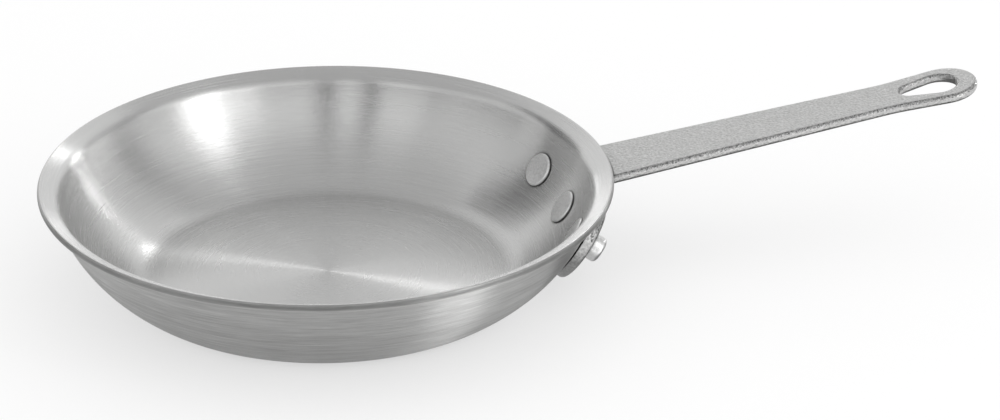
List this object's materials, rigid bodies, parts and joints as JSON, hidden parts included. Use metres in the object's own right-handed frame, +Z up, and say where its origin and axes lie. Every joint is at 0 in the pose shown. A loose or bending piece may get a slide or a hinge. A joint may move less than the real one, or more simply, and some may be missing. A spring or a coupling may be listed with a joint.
{
  "type": "omelette pan",
  "caption": "Shallow round omelette pan with sloping walls and a flared lip, and a flat tapered handle with a hanging slot, riveted on.",
  "frame": {"origin": "centre of the flat bottom, on the surface that the pan stands on", "axes": "+Z up, out of the open mouth; +X along the handle, from the pan towards the tip"},
  "size_m": [0.3399, 0.2028, 0.057],
  "materials": {
    "spun_aluminium": "fine brushed rings inside, coarser brushed rings outside",
    "cast_aluminium": "matt, evenly blasted, with softened edges",
    "rivet_aluminium": "satin"
  },
  "bodies": {
    "root": {"pan_body": "spun_aluminium", "handle": "cast_aluminium", "rivet_left": "rivet_aluminium", "rivet_middle": "rivet_aluminium", "rivet_right": "rivet_aluminium"}
  },
  "joints": []
}
